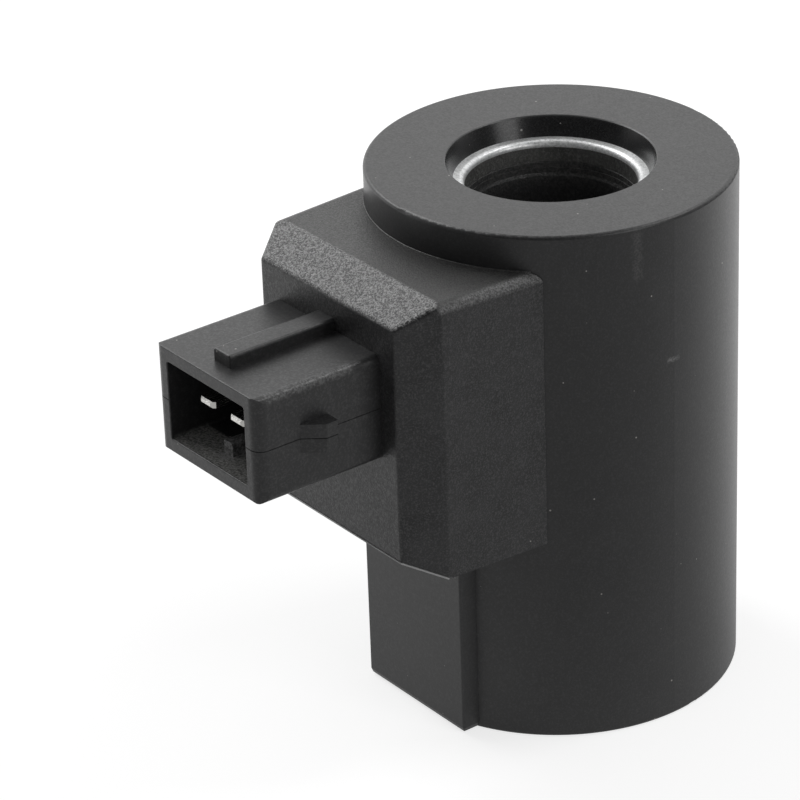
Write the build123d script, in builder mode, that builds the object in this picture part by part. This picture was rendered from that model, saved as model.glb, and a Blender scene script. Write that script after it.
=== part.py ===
from build123d import *
import os
from math import radians, sin, sqrt

os.makedirs("parts", exist_ok=True)

# Solenoid valve coil. Millimetres, +Z up, origin on the bore axis halfway up the coil.
# The connector points along -Y.

# Coil body, which is sized from its bore outwards
height = 67.4
bore_radius = 10.1
jacket_wall = 2.4
rim_radius = 0.45
end_wall = 2.5
recess_margin = 1.7
recess_taper = 0.9
recess_edge = 0.1

# Key that stops the coil turning
key_half_width = 9.5
key_rise = 0.3
key_corner = 0.3
key_root = 5.0
key_foot_round = 0.8
key_foot_angle = 22.5

# Clearances
mould_clearance = 0.1
lead_clearance = 0.08

# Magnetic circuit
yoke_wall = 2.4
pole_thickness = 2.65
pole_lip = 0.8
pole_spigot = 1.0
pole_bore_margin = 0.3
pole_bore_round = 0.65
collar_wall = 1.1

# Bobbin and winding
mouth_depth = 1.45
mouth_edge = 0.15
mouth_step_start = 0.8
mouth_step = 0.14
lead_in_depth = 0.4
tube_wall = 1.3
flange_thickness = 2.4
winding_build = 4.9
flange_overhang = 0.7
tape_thickness = 0.3
winding_clearance = 0.1
tongue_thickness = 1.7
tongue_half_width = 6.0
tongue_overhang = 4.4
tongue_corner = 1.0

# Terminal block
block_height = 35.8
block_drop = 4.4
block_reach = 11.4
block_front_half_width = 12.9
block_bevel_depth = 4.7
block_shoulder_half_width = 15.9
block_root_depth = 8.3
block_root_half_width = 16.9
block_top_slope = 2.8
block_bottom_slope = 2.5
block_edge = 0.7
block_side_radius = 1.4

# Connector header
header_length = 17.5
header_width = 20.2
header_height = 13.5
header_drop = 11.4
header_wall = 1.7
header_side_wall = 2.5
header_corner = 1.5
header_top_corner = 0.9
header_bottom_corner = 0.8
header_edge = 0.15
parting_width = 0.12
parting_depth = 0.1
socket_depth = 13.5
socket_corner = 0.3
spigot_width = 14.0
spigot_height = 9.0
spigot_length = 3.0
ridge_width = 3.3
ridge_rise = 1.6
ridge_start = 2.6
ridge_corner = 0.4
ridge_edge = 0.2
lug_height = 3.6
lug_rise = 1.9
lug_start = 5.9
lug_ramp = 2.4
lug_flat = 1.7
lug_edge = 0.2
rib_width = 1.7
rib_rise = 1.7
rib_start = 2.8
rib_corner = 0.3

# Terminals
tab_width = 2.8
tab_thickness = 0.8
tab_pitch = 6.0
tab_inset = 2.0
tab_tip_taper = 0.5
tab_tip_edge = 0.2
tab_drop = 4.2
leg_rise = 3.4
bend_radius = 0.4
carrier_half_width = 6.5
carrier_depth = 3.8
carrier_below_tab = 2.6
carrier_edge = 0.4

# Winding ends
wire_diameter = 0.4
lead_bend = 1.0
sleeve_wall = 0.25
groove_width = 1.4
groove_depth = 1.2
finish_lead_drop = 0.9
lead_overlap = 1.5
sleeve_start = 0.8
sleeve_stop = 0.9
solder_radius = 0.75

# Places worked out from the sizes above
top_z = height / 2
pole_face_z = top_z - end_wall
flange_face_z = pole_face_z - pole_thickness
flange_under_z = flange_face_z - flange_thickness
tube_outer_radius = bore_radius + tube_wall
winding_inner_radius = tube_outer_radius + winding_clearance
winding_outer_radius = winding_inner_radius + winding_build
tape_inner_radius = winding_outer_radius + winding_clearance
tape_outer_radius = tape_inner_radius + tape_thickness
flange_radius = tape_outer_radius + flange_overhang
yoke_inner_radius = flange_radius + mould_clearance
yoke_outer_radius = yoke_inner_radius + yoke_wall
cavity_radius = yoke_outer_radius + mould_clearance
jacket_radius = cavity_radius + jacket_wall
pole_bore_radius = bore_radius + pole_bore_margin
collar_outer_radius = pole_bore_radius + collar_wall
recess_floor_radius = bore_radius + recess_margin
recess_mouth_radius = recess_floor_radius + recess_taper
winding_half_length = flange_under_z - winding_clearance

key_front = jacket_radius + key_rise
key_foot_z = -top_z + key_foot_round
foot_upper_step = key_foot_round * sin(radians(2 * key_foot_angle))
foot_lower_step = key_foot_round - foot_upper_step
block_root = jacket_radius - block_root_depth
block_front = jacket_radius + block_reach
block_shoulder = block_front - block_bevel_depth
block_top = top_z - block_drop
block_bottom = block_top - block_height
block_mid = (block_top + block_bottom) / 2
front_top = block_top - block_top_slope
front_bottom = block_bottom + block_bottom_slope

header_top = top_z - header_drop
header_mid = header_top - header_height / 2
header_front = block_front + header_length
socket_width = header_width - 2 * header_side_wall
socket_height = header_height - 2 * header_wall
socket_floor = header_mid - socket_height / 2
tab_z = header_top - header_wall - tab_drop
tab_tip = header_front - tab_inset

carrier_top = flange_under_z
carrier_bottom = tab_z - carrier_below_tab
carrier_front = jacket_radius + tongue_overhang
carrier_back = carrier_front - carrier_depth
leg_top = tab_z + leg_rise
leg_back = carrier_back - tab_thickness
lead_line = leg_back - wire_diameter / 2 - lead_clearance
window_half_width = carrier_half_width + mould_clearance
window_bottom = carrier_bottom - mould_clearance
window_top = flange_under_z + tongue_thickness + mould_clearance
window_mid = (window_top + window_bottom) / 2


# Key: flat pad that stands out below the block, with its foot rounded in two steps
with BuildPart() as key:
    with BuildSketch(Plane.XY.offset(key_foot_z)) as key_outline:
        with Locations((0, -key_front)):
            Rectangle(2 * key_half_width, key_rise + key_root, align=(Align.CENTER, Align.MIN))
        fillet(key_outline.vertices().group_by(Axis.Y)[0], key_corner)
    extrude(amount=-foot_upper_step, taper=key_foot_angle)
    extrude(faces().sort_by(Axis.Z)[0], amount=foot_lower_step, taper=90 - key_foot_angle)
    with BuildSketch(Plane.XY.offset(key_foot_z)):
        add(key_outline.sketch)
        Circle(jacket_radius - jacket_wall / 2, mode=Mode.SUBTRACT)
    extrude(amount=block_bottom - key_foot_z - mould_clearance)


# Moulded jacket: outer wall, both end walls with their tapered recesses, and the key
with BuildPart() as moulded_jacket:
    with BuildSketch(Plane.XZ):
        with BuildLine():
            Polyline(
                (recess_floor_radius, pole_face_z),
                (recess_mouth_radius, top_z),
                (jacket_radius, top_z),
                (jacket_radius, -top_z),
                (recess_mouth_radius, -top_z),
                (recess_floor_radius, -pole_face_z),
                (cavity_radius, -pole_face_z),
                (cavity_radius, pole_face_z),
                close=True,
            )
        make_face()
    revolve(axis=Axis.Z)
    rims = edges().filter_by(GeomType.CIRCLE).group_by(SortBy.RADIUS)[-1]
    fillet(rims, rim_radius)
    mouths = edges().filter_by(
        lambda e: e.geom_type == GeomType.CIRCLE
        and abs(e.radius - recess_mouth_radius) < recess_edge / 2
    )
    chamfer(mouths, recess_edge)
    add(key.part)
    with BuildSketch(Plane.XZ):
        with Locations((0, window_mid)):
            Rectangle(2 * window_half_width, window_top - window_bottom)
    extrude(amount=jacket_radius, mode=Mode.SUBTRACT)
moulded_jacket.part.label = "moulded_jacket"
export_step(moulded_jacket.part, "parts/moulded_jacket.step")


# Terminal block: drafted body with a four-sided bevel round its front face
with BuildPart() as terminal_block:
    with BuildSketch(Plane.XZ.offset(block_root)):
        with Locations((0, block_mid)):
            Rectangle(2 * block_root_half_width, block_height)
    with BuildSketch(Plane.XZ.offset(block_shoulder)):
        with Locations((0, block_mid)):
            Rectangle(2 * block_shoulder_half_width, block_height)
    loft()
    with BuildSketch(Plane.XZ.offset(block_shoulder)):
        with Locations((0, block_mid)):
            Rectangle(2 * block_shoulder_half_width, block_height)
    with BuildSketch(Plane.XZ.offset(block_front)):
        with Locations((0, (front_top + front_bottom) / 2)):
            Rectangle(2 * block_front_half_width, front_top - front_bottom)
    loft()
    top_sides = edges().filter_by(
        lambda e: e.center().Z > block_top - block_edge
        and abs(e.center().X) > block_shoulder_half_width
        and e.center().Y > -block_shoulder
    )
    fillet(top_sides, block_side_radius)
    bevel_edges = edges().filter_by(lambda e: e.center().Y < -block_shoulder + block_edge)
    fillet(bevel_edges, block_edge)
    with BuildSketch(Plane.XY.offset(block_bottom - block_edge)):
        Circle(jacket_radius + mould_clearance)
    extrude(amount=block_height + 2 * block_edge, mode=Mode.SUBTRACT)
    with BuildSketch(Plane.XZ):
        with Locations((0, window_mid)):
            Rectangle(2 * window_half_width, window_top - window_bottom)
    extrude(amount=carrier_front + mould_clearance, mode=Mode.SUBTRACT)
    with BuildSketch(Plane.XZ.offset(block_front)):
        with Locations((0, header_mid)):
            Rectangle(spigot_width + 2 * mould_clearance, spigot_height + 2 * mould_clearance)
    extrude(amount=-(spigot_length + mould_clearance), mode=Mode.SUBTRACT)
    with BuildSketch(Plane.XZ.offset(block_front)):
        with Locations((-tab_pitch / 2, tab_z), (tab_pitch / 2, tab_z)):
            Rectangle(tab_width + 2 * mould_clearance, tab_thickness + 2 * mould_clearance)
    extrude(amount=-(block_front - carrier_front), mode=Mode.SUBTRACT)
terminal_block.part.label = "terminal_block"
export_step(terminal_block.part, "parts/terminal_block.step")


# Connector header: open socket with a top ridge, latching lugs, a key rib and a parting groove round it
with BuildPart() as connector_header:
    with BuildSketch(Plane.XZ.offset(block_front)) as shell_outline:
        with Locations((0, header_mid)):
            Rectangle(header_width, header_height)
        fillet(shell_outline.vertices().group_by(Axis.Y)[-1], header_top_corner)
        fillet(shell_outline.vertices().group_by(Axis.Y)[0], header_bottom_corner)
    extrude(amount=header_length)
    fillet(faces().sort_by(Axis.Y)[0].edges(), header_edge)
    with BuildSketch(Plane.XY.offset(header_mid)) as header_plan:
        with Locations((0, -header_front)):
            Rectangle(header_width, header_length, align=(Align.CENTER, Align.MIN))
        fillet(header_plan.vertices().group_by(Axis.Y)[0], header_corner)
    extrude(amount=header_height / 2, both=True, mode=Mode.INTERSECT)
    with BuildSketch(Plane.XZ.offset(block_front)):
        with Locations((0, header_mid)):
            Rectangle(spigot_width, spigot_height)
    extrude(amount=-spigot_length)
    with BuildSketch(Plane.XZ.offset(header_front)):
        with Locations((0, header_mid)):
            RectangleRounded(socket_width, socket_height, socket_corner)
    extrude(amount=-socket_depth, mode=Mode.SUBTRACT)
    fillet(faces().sort_by(Axis.Y)[0].inner_wires().edges(), header_edge)
    with BuildSketch(Plane.XZ.offset(header_front - rib_start)) as rib_outline:
        with Locations((0, socket_floor + rib_rise / 2)):
            Rectangle(rib_width, rib_rise)
        fillet(rib_outline.vertices().group_by(Axis.Y)[-1], rib_corner)
    extrude(amount=-(socket_depth - rib_start))
    with BuildSketch(Plane.XZ.offset(block_front)) as ridge_outline:
        with Locations((0, header_top + ridge_rise / 2)):
            Rectangle(ridge_width, ridge_rise)
        fillet(ridge_outline.vertices().group_by(Axis.Y)[-1], ridge_corner)
    extrude(amount=header_length - ridge_start)
    ridge_nose = edges().filter_by(Axis.X).filter_by(
        lambda e: e.center().Z > header_top + ridge_corner
    )
    fillet(ridge_nose.sort_by(Axis.Y)[0], ridge_edge)
    with BuildSketch(Plane.XY.offset(header_mid - lug_height / 2)) as lug_outline:
        with BuildLine():
            Polyline(
                (header_width / 2, -header_front + lug_start),
                (header_width / 2 + lug_rise, -header_front + lug_start + lug_ramp),
                (header_width / 2 + lug_rise, -header_front + lug_start + lug_ramp + lug_flat),
                (header_width / 2, -header_front + lug_start + lug_ramp + lug_flat),
                close=True,
            )
        make_face()
        mirror(about=Plane.YZ)
    extrude(amount=lug_height)
    lug_corners = edges().filter_by(Axis.Z).filter_by(
        lambda e: abs(e.center().X) > header_width / 2 + lug_rise / 2
    )
    fillet(lug_corners, lug_edge)
    with BuildSketch(Plane.XY.offset(header_mid - parting_width / 2)) as parting_outline:
        with Locations((0, -header_front)):
            Rectangle(header_width, 2 * header_length, align=(Align.CENTER, Align.MIN))
        fillet(parting_outline.vertices().group_by(Axis.Y)[0], header_corner)
        add(lug_outline.sketch.moved(Location((0, 0, (lug_height - parting_width) / 2))))
        offset(amount=-parting_depth, mode=Mode.SUBTRACT)
    extrude(amount=parting_width, mode=Mode.SUBTRACT)
    with BuildSketch(Plane.XZ.offset(header_front)):
        with Locations((-tab_pitch / 2, tab_z), (tab_pitch / 2, tab_z)):
            Rectangle(tab_width + 2 * lead_clearance, tab_thickness + 2 * lead_clearance)
    extrude(amount=-(header_length + spigot_length), mode=Mode.SUBTRACT)
connector_header.part.label = "connector_header"
export_step(connector_header.part, "parts/connector_header.step")


# Terminal tabs: flat blades with tapered tips and an upturned solder leg
for side_name, tab_x in (("left", -tab_pitch / 2), ("right", tab_pitch / 2)):
    with BuildPart() as terminal_tab:
        with BuildSketch(Plane.YZ.offset(tab_x)) as tab_profile:
            with BuildLine():
                Polyline(
                    (-tab_tip, tab_z - tab_thickness / 2),
                    (-leg_back, tab_z - tab_thickness / 2),
                    (-leg_back, leg_top),
                    (-carrier_back, leg_top),
                    (-carrier_back, tab_z + tab_thickness / 2),
                    (-tab_tip, tab_z + tab_thickness / 2),
                    close=True,
                )
            make_face()
            heel = tab_profile.vertices().group_by(Axis.Y)[0].sort_by(Axis.X)[-1]
            fillet(heel, bend_radius + tab_thickness)
        extrude(amount=tab_width / 2, both=True)
        tip_face = faces().sort_by(Axis.Y)[0]
        chamfer(tip_face.edges().filter_by(Axis.Z), tab_tip_taper)
        chamfer(faces().sort_by(Axis.Y)[0].edges().filter_by(Axis.X), tab_tip_edge)
    terminal_tab.part.label = f"{side_name}_terminal_tab"
    export_step(terminal_tab.part, f"parts/{side_name}_terminal_tab.step")


# Terminal carrier: insulating block under the bobbin's tongue that both blades pass through
with BuildPart() as terminal_carrier:
    with BuildSketch(Plane.XZ.offset(carrier_back)):
        with Locations((0, (carrier_top + carrier_bottom) / 2)):
            Rectangle(2 * carrier_half_width, carrier_top - carrier_bottom)
    extrude(amount=carrier_depth)
    with BuildSketch(Plane.XZ.offset(carrier_back)):
        with Locations((-tab_pitch / 2, tab_z), (tab_pitch / 2, tab_z)):
            Rectangle(tab_width + 2 * lead_clearance, tab_thickness + 2 * lead_clearance)
    extrude(amount=carrier_depth, mode=Mode.SUBTRACT)
    chamfer(faces().sort_by(Axis.Y)[0].outer_wire().edges(), carrier_edge)
terminal_carrier.part.label = "terminal_carrier"
export_step(terminal_carrier.part, "parts/terminal_carrier.step")


# Yoke tube: steel sleeve with a slot at its upper end for the tongue and terminals
with BuildPart() as yoke_tube:
    with BuildSketch(Plane.XY.offset(-flange_face_z - pole_spigot)):
        Circle(yoke_outer_radius)
        Circle(yoke_inner_radius, mode=Mode.SUBTRACT)
    extrude(amount=2 * (flange_face_z + pole_spigot))
    with BuildSketch(Plane.XZ):
        with Locations((0, (top_z + window_bottom) / 2)):
            Rectangle(2 * window_half_width, top_z - window_bottom)
    extrude(amount=jacket_radius, mode=Mode.SUBTRACT)
yoke_tube.part.label = "yoke_tube"
export_step(yoke_tube.part, "parts/yoke_tube.step")


# Pole rings and insulating collars, one of each at both ends
for end_name, end in (("upper", 1), ("lower", -1)):
    with BuildPart() as pole_ring:
        with BuildSketch(Plane.XZ):
            with BuildLine():
                Polyline(
                    (pole_bore_radius, end * pole_face_z),
                    (yoke_outer_radius, end * pole_face_z),
                    (yoke_outer_radius, end * (flange_face_z + pole_spigot)),
                    (yoke_inner_radius - mould_clearance, end * (flange_face_z + pole_spigot)),
                    (yoke_inner_radius - mould_clearance, end * flange_face_z),
                    (collar_outer_radius + mould_clearance, end * flange_face_z),
                    (collar_outer_radius + mould_clearance, end * (pole_face_z - pole_lip)),
                    (pole_bore_radius, end * (pole_face_z - pole_lip)),
                    close=True,
                )
            make_face()
        revolve(axis=Axis.Z)
        bore_lips = edges().filter_by(GeomType.CIRCLE).filter_by(
            lambda e: abs(e.center().Z) > pole_face_z - pole_lip / 2
        )
        fillet(bore_lips.sort_by(SortBy.RADIUS)[0], pole_bore_round)
    pole_ring.part.label = f"{end_name}_pole_ring"
    export_step(pole_ring.part, f"parts/{end_name}_pole_ring.step")

    with BuildPart() as insulating_collar:
        with BuildSketch(Plane.XY.offset(end * flange_face_z)):
            Circle(collar_outer_radius)
            Circle(pole_bore_radius, mode=Mode.SUBTRACT)
        extrude(amount=end * (pole_thickness - pole_lip))
    insulating_collar.part.label = f"{end_name}_insulating_collar"
    export_step(insulating_collar.part, f"parts/{end_name}_insulating_collar.step")


# Bobbin: tube with two flanges, a wider mouth at each end and a tongue for the terminals
with BuildPart() as bobbin:
    with BuildSketch(Plane.XZ):
        with BuildLine():
            Polyline(
                (bore_radius, 0),
                (bore_radius, flange_face_z - mouth_depth - lead_in_depth),
                (pole_bore_radius - mouth_step, flange_face_z - mouth_depth),
                (pole_bore_radius - mouth_step, flange_face_z - mouth_step_start),
                (pole_bore_radius, flange_face_z - mouth_step_start),
                (pole_bore_radius, flange_face_z - mouth_edge),
                (pole_bore_radius + mouth_edge, flange_face_z),
                (flange_radius, flange_face_z),
                (flange_radius, flange_under_z),
                (tube_outer_radius, flange_under_z),
                (tube_outer_radius, 0),
                close=True,
            )
        make_face()
    revolve(axis=Axis.Z)
    mirror(about=Plane.XY)
    with BuildSketch(Plane.XY.offset(flange_under_z)) as tongue_outline:
        with Locations((0, -(carrier_front + tube_outer_radius) / 2)):
            Rectangle(2 * tongue_half_width, carrier_front - tube_outer_radius)
        fillet(tongue_outline.vertices().group_by(Axis.Y)[0], tongue_corner)
    extrude(amount=tongue_thickness)
    with BuildSketch(Plane.XY.offset(flange_under_z)):
        with Locations((-tab_pitch / 2, -(tube_outer_radius + carrier_back) / 2)):
            Rectangle(groove_width, carrier_back - tube_outer_radius)
    extrude(amount=groove_depth, mode=Mode.SUBTRACT)
bobbin.part.label = "bobbin"
export_step(bobbin.part, "parts/bobbin.step")


# Winding and the tape wound over it
with BuildPart() as winding:
    with BuildSketch(Plane.XY.offset(-winding_half_length)):
        Circle(winding_outer_radius)
        Circle(winding_inner_radius, mode=Mode.SUBTRACT)
    extrude(amount=2 * winding_half_length)
winding.part.label = "winding"
export_step(winding.part, "parts/winding.step")

with BuildPart() as winding_tape:
    with BuildSketch(Plane.XY.offset(-winding_half_length)):
        Circle(tape_outer_radius)
        Circle(tape_inner_radius, mode=Mode.SUBTRACT)
    extrude(amount=2 * winding_half_length)
winding_tape.part.label = "winding_tape"
export_step(winding_tape.part, "parts/winding_tape.step")


# Winding ends: the start lead lies in the flange's groove, the finish lead leaves the outer layer.
# Each turns down behind the carrier, lies along its tab's leg, and is sleeved and soldered.
sleeve_radius = wire_diameter / 2 + lead_clearance + sleeve_wall
start_z = flange_under_z + groove_depth / 2
finish_z = flange_under_z - finish_lead_drop
finish_y = sqrt(tape_outer_radius ** 2 - (tab_pitch / 2) ** 2) + wire_diameter / 2 + lead_clearance
for end_name, lead_x, lead_z, lead_y in (
    ("start", -tab_pitch / 2, start_z, tube_outer_radius + groove_width / 2),
    ("finish", tab_pitch / 2, finish_z, finish_y),
):
    with BuildPart() as lead:
        with BuildLine() as lead_path:
            FilletPolyline(
                (lead_x, -lead_y, lead_z),
                (lead_x, -lead_line, lead_z),
                (lead_x, -lead_line, leg_top - lead_overlap),
                radius=lead_bend,
            )
        with BuildSketch(Plane((lead_x, -lead_y, lead_z), z_dir=(0, -1, 0))):
            Circle(wire_diameter / 2)
        sweep()
    lead.part.label = f"{end_name}_lead"
    export_step(lead.part, f"parts/{end_name}_lead.step")

    with BuildPart() as lead_sleeve:
        with BuildLine():
            FilletPolyline(
                (lead_x, -lead_y - sleeve_start, lead_z),
                (lead_x, -lead_line, lead_z),
                (lead_x, -lead_line, leg_top + sleeve_stop),
                radius=lead_bend,
            )
        with BuildSketch(Plane((lead_x, -lead_y - sleeve_start, lead_z), z_dir=(0, -1, 0))):
            Circle(sleeve_radius)
            Circle(wire_diameter / 2 + lead_clearance, mode=Mode.SUBTRACT)
        sweep()
    lead_sleeve.part.label = f"{end_name}_lead_sleeve"
    export_step(lead_sleeve.part, f"parts/{end_name}_lead_sleeve.step")

    with BuildPart() as solder_joint:
        with Locations((lead_x, -leg_back, leg_top - lead_overlap / 2)):
            Sphere(solder_radius)
        with Locations((lead_x, -leg_back - solder_radius, leg_top)):
            Box(tab_width, 2 * solder_radius, 4 * solder_radius, mode=Mode.SUBTRACT)
        with BuildSketch(Plane((lead_x, -lead_line, leg_top - lead_overlap))):
            Circle(wire_diameter / 2)
        extrude(amount=lead_overlap + solder_radius, mode=Mode.SUBTRACT)
    solder_joint.part.label = f"{end_name}_solder_joint"
    export_step(solder_joint.part, f"parts/{end_name}_solder_joint.step")
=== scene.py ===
"""Solenoid valve coil: finishes, fine moulding marks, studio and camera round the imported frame."""

import logging
import math
from dataclasses import dataclass
from enum import Enum

import bmesh
import bpy
from mathutils import Matrix, Vector


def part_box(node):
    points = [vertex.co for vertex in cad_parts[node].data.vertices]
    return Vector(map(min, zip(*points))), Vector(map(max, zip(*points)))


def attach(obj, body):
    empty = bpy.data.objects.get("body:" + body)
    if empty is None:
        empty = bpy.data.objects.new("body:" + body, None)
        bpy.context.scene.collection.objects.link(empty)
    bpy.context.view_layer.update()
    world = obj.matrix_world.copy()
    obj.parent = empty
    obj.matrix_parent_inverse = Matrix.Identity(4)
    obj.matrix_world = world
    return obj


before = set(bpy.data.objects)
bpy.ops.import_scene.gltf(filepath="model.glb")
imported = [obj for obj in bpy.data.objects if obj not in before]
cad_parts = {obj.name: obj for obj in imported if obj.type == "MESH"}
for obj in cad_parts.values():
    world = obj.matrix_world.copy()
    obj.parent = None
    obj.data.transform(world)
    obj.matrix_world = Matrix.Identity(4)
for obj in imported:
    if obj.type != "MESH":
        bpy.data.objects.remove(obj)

logging.basicConfig(level=logging.INFO, format="%(message)s")
log = logging.getLogger("coil")

MM = 0.001
BODY = "root"

# The range that holds most values of a noise texture.
NOISE_SPAN = (0.3, 0.7)

Colour = tuple[float, float, float]
Point = tuple[float, float, float]
Span = tuple[float, float]
Socket = bpy.types.NodeSocket


class Grain(Enum):
    """Surface that the mould leaves: grain size and bump depth in metres, swing in roughness."""

    SATIN = (0.16 * MM, 0.005 * MM, 0.03)
    MATTE = (0.18 * MM, 0.008 * MM, 0.06)
    SPARK = (0.13 * MM, 0.050 * MM, 0.10)
    GRANULAR = (0.20 * MM, 0.060 * MM, 0.14)

    def __init__(self, size: float, depth: float, swing: float) -> None:
        """Names the three numbers.

        Args:
            size: Width of one grain.
            depth: Height of the bump.
            swing: How far roughness moves from grain to grain.
        """
        self.size = size
        self.depth = depth
        self.swing = swing


class End(Enum):
    """The two ends of the coil."""

    UPPER = "upper"
    LOWER = "lower"


@dataclass
class Graph:
    """A node tree with short calls for adding and joining nodes."""

    tree: bpy.types.NodeTree

    def add(self, kind: str, **settings: object) -> bpy.types.Node:
        """Adds a node.

        Args:
            kind: The node's Blender type.
            settings: Properties to set on it.

        Returns:
            The new node.
        """
        node = self.tree.nodes.new(kind)
        for name, value in settings.items():
            setattr(node, name, value)
        return node

    def join(self, source: Socket, target: Socket) -> None:
        """Links an output to an input."""
        self.tree.links.new(source, target)

    def feed(self, value: object, target: Socket) -> None:
        """Links a socket, or sets a plain number or colour.

        Args:
            value: The socket, number or colour.
            target: The input that takes it.
        """
        if isinstance(value, Socket):
            self.join(value, target)
        else:
            target.default_value = value

    def maths(self, operation: str, *values: object, clamp: bool = False) -> Socket:
        """Adds a Math node.

        Args:
            operation: The Math node's operation.
            values: One to three numbers or sockets.
            clamp: Whether the result is kept between 0 and 1.

        Returns:
            Its result.
        """
        node = self.add("ShaderNodeMath", operation=operation, use_clamp=clamp)
        for value, target in zip(values, node.inputs):
            self.feed(value, target)
        return node.outputs[0]

    def spread(self, value: Socket, low: float, high: float, to_low: float = 0.0,
               to_high: float = 1.0) -> Socket:
        """Maps a value from one range to another and clamps it.

        Args:
            value: The socket to map.
            low: Start of the range that counts.
            high: End of the range that counts.
            to_low: What the start becomes.
            to_high: What the end becomes.

        Returns:
            The mapped value.
        """
        node = self.add("ShaderNodeMapRange")
        self.join(value, node.inputs["Value"])
        node.inputs["From Min"].default_value = low
        node.inputs["From Max"].default_value = high
        node.inputs["To Min"].default_value = to_low
        node.inputs["To Max"].default_value = to_high
        return node.outputs["Result"]

    def between(self, value: Socket, start: float, stop: float) -> Socket:
        """Goes from one number to another as a value goes from 0 to 1."""
        return self.spread(value, 0.0, 1.0, start, stop)

    def blend(self, factor: object, first: object, second: object, kind: str = "RGBA") -> Socket:
        """Mixes two colours, or two numbers.

        Args:
            factor: Share of the second one.
            first: What factor 0 gives, as a socket or a triple.
            second: What factor 1 gives, as a socket or a triple.
            kind: RGBA for colours, FLOAT for numbers.

        Returns:
            The mixture.
        """
        node = self.add("ShaderNodeMix", data_type=kind)
        inputs = [s for s in node.inputs if s.enabled]
        for value, target in zip((factor, first, second), inputs):
            self.feed((*value, 1.0) if isinstance(value, tuple) else value, target)
        return next(s for s in node.outputs if s.enabled)

    def place(self) -> Socket:
        """Place on the object, in metres."""
        return self.add("ShaderNodeTexCoord").outputs["Object"]

    def axes(self) -> tuple[Socket, Socket, Socket]:
        """Splits the place on the object.

        Returns:
            It along X, Y and Z, in metres.
        """
        split = self.add("ShaderNodeSeparateXYZ")
        self.join(self.place(), split.inputs["Vector"])
        return tuple(split.outputs)

    def round_bore(self) -> tuple[Socket, Socket, Socket]:
        """Finds where a point lies round the bore.

        Returns:
            Its distance from the axis, its height and its turn round the axis.
        """
        east, north, up = self.axes()
        away = self.maths("SQRT", self.maths("ADD", self.maths("MULTIPLY", east, east),
                                             self.maths("MULTIPLY", north, north)))
        return away, up, self.maths("ARCTAN2", north, east)

    def stretched(self, scale: Point, turn: Point = (0.0, 0.0, 0.0)) -> Socket:
        """Place on the object for a pattern that is drawn out along one axis.

        Args:
            scale: How fast the pattern changes along each axis.
            turn: Turn of the axes, in radians.

        Returns:
            The stretched place.
        """
        mapping = self.add("ShaderNodeMapping")
        self.join(self.place(), mapping.inputs["Vector"])
        mapping.inputs["Rotation"].default_value = turn
        mapping.inputs["Scale"].default_value = scale
        return mapping.outputs["Vector"]

    def noise(self, place: Socket, scale: object, detail: float = 2.0,
              roughness: float = 0.5) -> Socket:
        """Adds a noise texture.

        Args:
            place: Where to read it.
            scale: Cycles per metre, as a number or a socket.
            detail: Octaves.
            roughness: Weight of the finer octaves.

        Returns:
            Its value, about 0.5 on average.
        """
        node = self.add("ShaderNodeTexNoise")
        self.join(place, node.inputs["Vector"])
        self.feed(scale, node.inputs["Scale"])
        node.inputs["Detail"].default_value = detail
        node.inputs["Roughness"].default_value = roughness
        return node.outputs["Fac"]


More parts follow.
